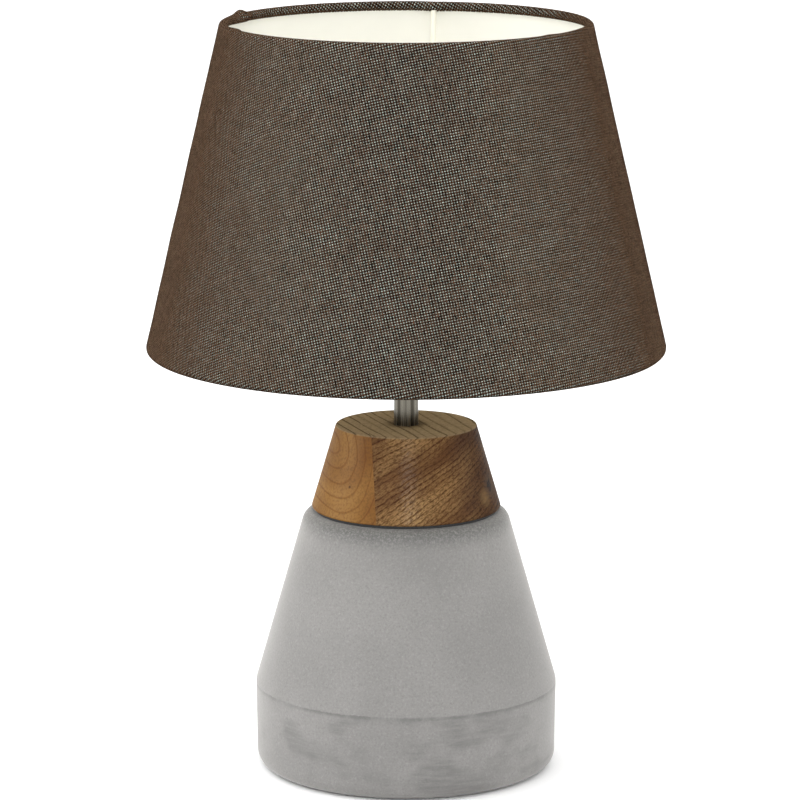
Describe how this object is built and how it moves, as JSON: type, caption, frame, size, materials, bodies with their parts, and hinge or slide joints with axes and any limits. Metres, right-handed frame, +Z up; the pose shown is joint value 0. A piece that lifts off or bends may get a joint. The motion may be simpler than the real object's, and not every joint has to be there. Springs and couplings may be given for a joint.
{
  "type": "table lamp with shade",
  "caption": "Table lamp with a conical woven shade, a turned wooden collar and a cast concrete cone for a base; it stands on a flat pad.",
  "frame": {"origin": "on the table, under the middle of the base", "axes": "+Z up along the axis that the base, tube, bulb and shade share; +Y towards the cord inlet at the back"},
  "size_m": [0.2508, 0.2508, 0.365],
  "materials": {
    "concrete": "matt, finely mottled cast concrete",
    "felt": "soft foam pad",
    "grommet_rubber": "smooth black rubber",
    "zinc_steel": "zinc-plated steel",
    "gasket": "black",
    "collar_wood": "satin varnish, open grain",
    "collar_wood_pale": "satin varnish, open grain",
    "satin_nickel": "satin nickel plate",
    "holder_plastic": "black thermoplastic",
    "porcelain": "white glaze",
    "contact_brass": "bare brass",
    "shade_cloth": "coarse plain weave, brown with pale lining behind",
    "lining_white": "stiff laminated lining",
    "frame_white": "cream-white powder coat",
    "bulb_tip_metal": "tinned contact",
    "bulb_glass_black": "black insulating glass",
    "bulb_cap_metal": "nickel-plated",
    "bulb_housing_white": "white plastic",
    "bulb_opal": "opal diffuser",
    "led_aluminium": "bare aluminium",
    "led_phosphor": "yellow phosphor",
    "board_green": "solder-masked board",
    "capacitor_sleeve": "dark plastic sleeve"
  },
  "bodies": {
    "base": {"base_casting": "concrete", "base_pad": "felt", "cord_grommet": "grommet_rubber", "rod_washer": "zinc_steel", "rod_lock_washer": "zinc_steel", "rod_nut": "zinc_steel", "threaded_rod": "zinc_steel", "collar_gasket": "gasket", "collar_board_wide": "collar_wood", "collar_board_narrow": "collar_wood_pale", "tube_sleeve": "satin_nickel", "holder_nut": "zinc_steel", "holder_cap": "holder_plastic", "holder_grub_screw": "zinc_steel", "holder_body": "holder_plastic", "holder_insert": "porcelain", "screw_shell": "contact_brass", "centre_contact": "contact_brass", "terminal_blocks": "contact_brass", "terminal_screws": "zinc_steel"},
    "shade": {"shade_fabric": "shade_cloth", "shade_lining": "lining_white", "top_ring": "frame_white", "bottom_ring": "frame_white", "fitter_ring": "frame_white", "drop_wire_1": "frame_white", "drop_wire_2": "frame_white", "drop_wire_3": "frame_white"},
    "clamp_ring": {"shade_ring": "holder_plastic"},
    "bulb_tip": {"bulb_contact_tip": "bulb_tip_metal"},
    "bulb": {"bulb_insulator": "bulb_glass_black", "bulb_cap": "bulb_cap_metal", "bulb_housing": "bulb_housing_white", "bulb_diffuser": "bulb_opal", "led_post": "led_aluminium", "led_chips": "led_phosphor", "driver_board": "board_green", "driver_capacitor": "capacitor_sleeve"}
  },
  "joints": [
    {"name": "shade_lift", "type": "slide", "parent": "base", "child": "shade", "axis": [0, 0, 1], "range_m": [0, 0.2]},
    {"name": "shade_ring_turn", "type": "hinge", "parent": "shade", "child": "clamp_ring", "pos_m": [0, 0, 0.2573], "axis": [0, 0, 1], "range_deg": [0, 1080]},
    {"name": "bulb_climb", "type": "slide", "parent": "base", "child": "bulb_tip", "axis": [0, 0, 1], "range_m": [0, 0.01452]},
    {"name": "bulb_turn", "type": "hinge", "parent": "bulb_tip", "child": "bulb", "pos_m": [0, 0, 0.26], "axis": [0, 0, 1], "range_deg": [0, 1440]}
  ],
  "couplings": [
    {"joint": "bulb_climb", "follows": "bulb_turn", "m_per_rad": 0.00057757}
  ]
}
